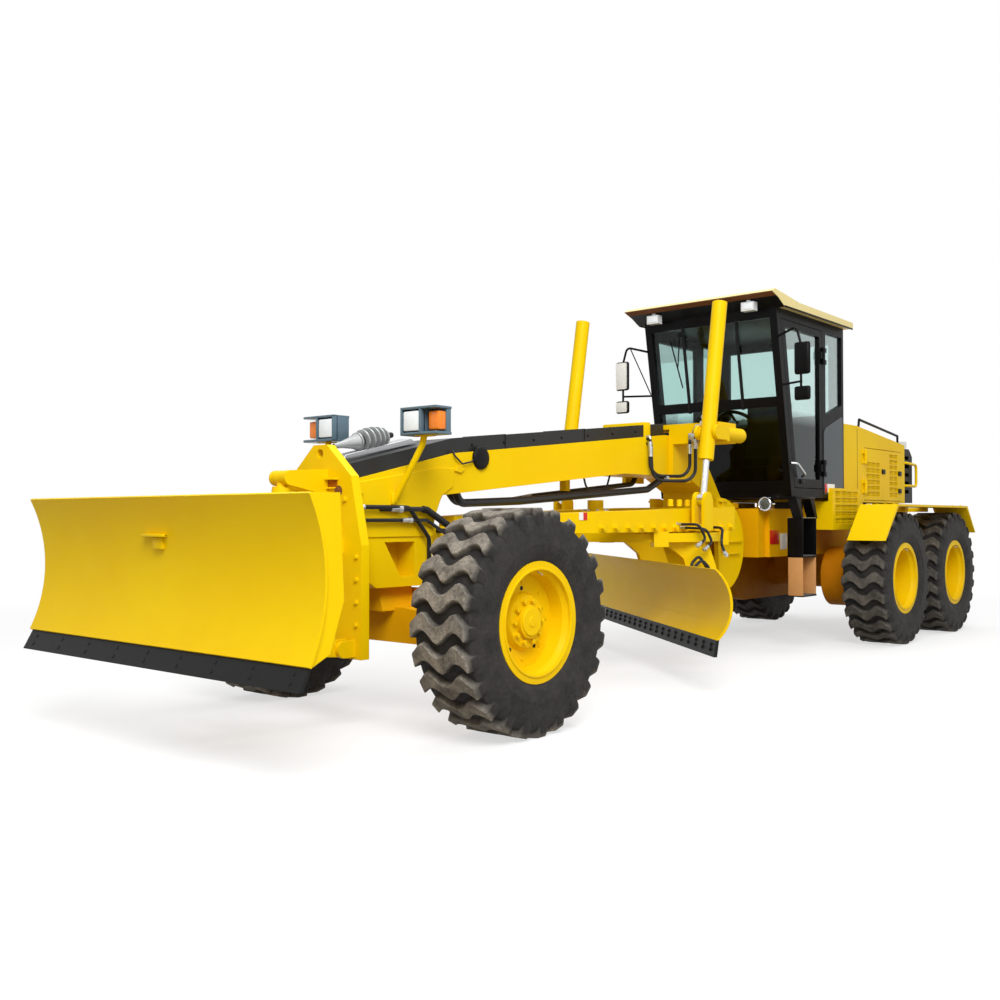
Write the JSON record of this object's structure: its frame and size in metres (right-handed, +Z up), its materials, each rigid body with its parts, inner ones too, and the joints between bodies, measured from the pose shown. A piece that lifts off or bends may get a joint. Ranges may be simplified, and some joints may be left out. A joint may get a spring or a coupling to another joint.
{
  "type": "motor grader with front dozer blade",
  "caption": "Articulated motor grader: gooseneck front frame with front dozer blade, drawbar, turning circle and moldboard, black cab, engine hood and tandem rear wheels.",
  "frame": {"origin": "on the ground, under the middle of the machine's overall box, the machine standing on its wheels", "axes": "+X forward to the dozer blade, +Y to the machine's left, +Z up"},
  "size_m": [10.16, 2.8956, 3.295],
  "materials": {
    "yellow_paint": "semi-gloss",
    "black_paint": "semi-gloss",
    "tyre_rubber": "dusty",
    "edge_steel": "satin",
    "cab_glass": "clear, pale green",
    "chromed_rod": "polished",
    "bright_steel": "satin",
    "seat_cloth": "woven",
    "lamp_plastic": "gloss",
    "lamp_white": "gloss",
    "hose_rubber": "satin",
    "engine_iron": "rough"
  },
  "bodies": {
    "rear_body": {"rear_frame": "yellow_paint", "engine_block": "engine_iron", "rear_axle": "yellow_paint", "hood": "yellow_paint", "radiator_guard": "black_paint", "fenders": "yellow_paint", "side_boxes": "yellow_paint", "access_steps": "black_paint", "cab_frame": "black_paint", "cab_glass": "cab_glass", "cab_roof": "yellow_paint", "seat": "seat_cloth", "mirrors": "black_paint", "work_lamps": "lamp_white"},
    "front_body": {"gooseneck": "yellow_paint", "beam_cover": "black_paint", "lift_saddle": "yellow_paint", "front_mount": "yellow_paint", "headlamps": "lamp_plastic", "front_axle": "yellow_paint", "hoses": "hose_rubber"},
    "lean_left": {"lean_bracket_left": "yellow_paint"},
    "steer_left": {"knuckle_left": "yellow_paint"},
    "lift_barrel_left": {"lift_barrel_left": "yellow_paint"},
    "lift_rod_left": {"lift_rod_left": "chromed_rod"},
    "hood_door_left": {"hood_door_left": "yellow_paint"},
    "wheel_front_left": {"tyre_front_left": "tyre_rubber", "rim_front_left": "yellow_paint"},
    "wheel_mid_left": {"tyre_mid_left": "tyre_rubber", "rim_mid_left": "yellow_paint"},
    "wheel_rear_left": {"tyre_rear_left": "tyre_rubber", "rim_rear_left": "yellow_paint"},
    "lean_right": {"lean_bracket_right": "yellow_paint"},
    "steer_right": {"knuckle_right": "yellow_paint"},
    "lift_barrel_right": {"lift_barrel_right": "yellow_paint"},
    "lift_rod_right": {"lift_rod_right": "chromed_rod"},
    "hood_door_right": {"hood_door_right": "yellow_paint"},
    "wheel_front_right": {"tyre_front_right": "tyre_rubber", "rim_front_right": "yellow_paint"},
    "wheel_mid_right": {"tyre_mid_right": "tyre_rubber", "rim_mid_right": "yellow_paint"},
    "wheel_rear_right": {"tyre_rear_right": "tyre_rubber", "rim_rear_right": "yellow_paint"},
    "lean_bar": {"lean_bar": "yellow_paint"},
    "tie_ball": {"tie_rod_ball": "bright_steel"},
    "tie_rod": {"tie_rod": "yellow_paint"},
    "dozer_arms": {"dozer_arms": "yellow_paint"},
    "dozer_link": {"dozer_link": "yellow_paint"},
    "dozer_blade": {"dozer_blade": "yellow_paint", "dozer_edge": "edge_steel"},
    "dozer_barrel": {"dozer_barrel": "yellow_paint"},
    "dozer_rod": {"dozer_rod": "chromed_rod"},
    "drawbar": {"drawbar": "yellow_paint"},
    "circle": {"circle": "yellow_paint"},
    "blade_carrier": {"blade_carrier": "yellow_paint"},
    "moldboard": {"moldboard": "yellow_paint", "moldboard_edge": "edge_steel"},
    "cab_door": {"cab_door": "black_paint", "cab_door_glass": "cab_glass"}
  },
  "joints": [
    {"name": "articulation", "type": "hinge", "parent": "rear_body", "child": "front_body", "pos_m": [-0.98, 0, 1.05], "axis": [0, 0, 1], "range_deg": [-27, 27]},
    {"name": "lean_left", "type": "hinge", "parent": "front_body", "child": "lean_left", "pos_m": [3.32, 0.72, 0.56], "axis": [1, 0, 0], "range_deg": [-17, 17]},
    {"name": "lean_right", "type": "hinge", "parent": "front_body", "child": "lean_right", "pos_m": [3.32, -0.72, 0.56], "axis": [1, 0, 0], "range_deg": [-17, 17]},
    {"name": "lean_bar_pin", "type": "hinge", "parent": "lean_left", "child": "lean_bar", "pos_m": [3.32, 0.72, 0.78], "axis": [1, 0, 0], "range_deg": [-17, 17]},
    {"name": "steer_left", "type": "hinge", "parent": "lean_left", "child": "steer_left", "pos_m": [3.32, 0.85, 0.655], "axis": [0, 0, 1], "range_deg": [-45, 45]},
    {"name": "steer_right", "type": "hinge", "parent": "lean_right", "child": "steer_right", "pos_m": [3.32, -0.85, 0.655], "axis": [0, 0, 1], "range_deg": [-45, 45]},
    {"name": "tie_ball_turn", "type": "hinge", "parent": "steer_left", "child": "tie_ball", "pos_m": [3.08, 0.85, 0.693], "axis": [0, 0, 1], "range_deg": [-45, 45]},
    {"name": "tie_rod_tilt", "type": "hinge", "parent": "tie_ball", "child": "tie_rod", "pos_m": [3.08, 0.85, 0.693], "axis": [1, 0, 0], "range_deg": [-15, 15]},
    {"name": "wheel_front_left_spin", "type": "hinge", "parent": "steer_left", "child": "wheel_front_left", "pos_m": [3.32, 1.06, 0.655], "axis": [0, 1, 0], "continuous": true},
    {"name": "wheel_mid_left_spin", "type": "hinge", "parent": "rear_body", "child": "wheel_mid_left", "pos_m": [-2.548, 1.06, 0.655], "axis": [0, 1, 0], "continuous": true},
    {"name": "wheel_rear_left_spin", "type": "hinge", "parent": "rear_body", "child": "wheel_rear_left", "pos_m": [-4.072, 1.06, 0.655], "axis": [0, 1, 0], "continuous": true},
    {"name": "wheel_front_right_spin", "type": "hinge", "parent": "steer_right", "child": "wheel_front_right", "pos_m": [3.32, -1.06, 0.655], "axis": [0, 1, 0], "continuous": true},
    {"name": "wheel_mid_right_spin", "type": "hinge", "parent": "rear_body", "child": "wheel_mid_right", "pos_m": [-2.548, -1.06, 0.655], "axis": [0, 1, 0], "continuous": true},
    {"name": "wheel_rear_right_spin", "type": "hinge", "parent": "rear_body", "child": "wheel_rear_right", "pos_m": [-4.072, -1.06, 0.655], "axis": [0, 1, 0], "continuous": true},
    {"name": "dozer_lift", "type": "hinge", "parent": "front_body", "child": "dozer_arms", "pos_m": [3.96, 0, 0.485], "axis": [0, -1, 0], "range_deg": [-33, 22]},
    {"name": "dozer_link_swing", "type": "hinge", "parent": "front_body", "child": "dozer_link", "pos_m": [3.96, 0, 1.085], "axis": [0, -1, 0], "range_deg": [-33, 22]},
    {"name": "dozer_blade_level", "type": "hinge", "parent": "dozer_arms", "child": "dozer_blade", "pos_m": [4.82, 0, 0.56], "axis": [0, -1, 0], "range_deg": [-22, 33]},
    {"name": "dozer_barrel_swing", "type": "hinge", "parent": "front_body", "child": "dozer_barrel", "pos_m": [4.16, 0, 1.485], "axis": [0, -1, 0], "range_deg": [-5, 5]},
    {"name": "dozer_rod_stroke", "type": "slide", "parent": "dozer_barrel", "child": "dozer_rod", "axis": [0.1636, 0, -0.9865], "range_m": [-0.15, 0.21]},
    {"name": "drawbar_lift", "type": "hinge", "parent": "front_body", "child": "drawbar", "pos_m": [2.89, 0, 1.1], "axis": [0, 1, 0], "range_deg": [-17, 4]},
    {"name": "lift_barrel_left_swing", "type": "hinge", "parent": "front_body", "child": "lift_barrel_left", "pos_m": [0.39, 0.7, 1.95], "axis": [0, 1, 0], "range_deg": [-3, 6]},
    {"name": "lift_rod_left_stroke", "type": "slide", "parent": "lift_barrel_left", "child": "lift_rod_left", "axis": [0.1805, 0, -0.9836], "range_m": [-0.18, 0.72]},
    {"name": "lift_barrel_right_swing", "type": "hinge", "parent": "front_body", "child": "lift_barrel_right", "pos_m": [0.39, -0.7, 1.95], "axis": [0, 1, 0], "range_deg": [-3, 6]},
    {"name": "lift_rod_right_stroke", "type": "slide", "parent": "lift_barrel_right", "child": "lift_rod_right", "axis": [0.1805, 0, -0.9836], "range_m": [-0.18, 0.72]},
    {"name": "circle_turn", "type": "hinge", "parent": "drawbar", "child": "circle", "pos_m": [0.47, 0, 1.095], "axis": [0, 0, -1], "range_deg": [-85, 10]},
    {"name": "blade_pitch", "type": "hinge", "parent": "circle", "child": "blade_carrier", "pos_m": [0.1789, 0.24426, 0.59], "axis": [0.6428, 0.766, 0], "range_deg": [-10, 30]},
    {"name": "blade_side_shift", "type": "slide", "parent": "blade_carrier", "child": "moldboard", "axis": [0.6428, 0.766, 0], "range_m": [-0.42, 0.68]},
    {"name": "cab_door_hinge", "type": "hinge", "parent": "rear_body", "child": "cab_door", "pos_m": [-1.85, 0.717, 2.3], "axis": [0, 0, 1], "range_deg": [0, 100]},
    {"name": "hood_door_left_hinge", "type": "hinge", "parent": "rear_body", "child": "hood_door_left", "pos_m": [-3.16, 0.617, 1.73], "axis": [0, 0, -1], "range_deg": [0, 100]},
    {"name": "hood_door_right_hinge", "type": "hinge", "parent": "rear_body", "child": "hood_door_right", "pos_m": [-3.16, -0.617, 1.73], "axis": [0, 0, 1], "range_deg": [0, 100]}
  ],
  "couplings": [
    {"joint": "lean_right", "follows": "lean_left", "ratio": 1},
    {"joint": "lean_bar_pin", "follows": "lean_left", "ratio": -1},
    {"joint": "steer_right", "follows": "steer_left", "ratio": 1},
    {"joint": "tie_ball_turn", "follows": "steer_left", "ratio": -1},
    {"joint": "tie_rod_tilt", "follows": "lean_left", "ratio": -0.848},
    {"joint": "dozer_link_swing", "follows": "dozer_lift", "ratio": 1},
    {"joint": "dozer_blade_level", "follows": "dozer_lift", "ratio": -1},
    {"joint": "dozer_barrel_swing", "follows": "dozer_lift", "ratio": 0.05},
    {"joint": "dozer_rod_stroke", "follows": "dozer_lift", "m_per_rad": -0.345},
    {"joint": "lift_barrel_left_swing", "follows": "drawbar_lift", "ratio": -0.3},
    {"joint": "lift_rod_left_stroke", "follows": "drawbar_lift", "m_per_rad": -2.38},
    {"joint": "lift_barrel_right_swing", "follows": "drawbar_lift", "ratio": -0.3},
    {"joint": "lift_rod_right_stroke", "follows": "drawbar_lift", "m_per_rad": -2.38}
  ]
}
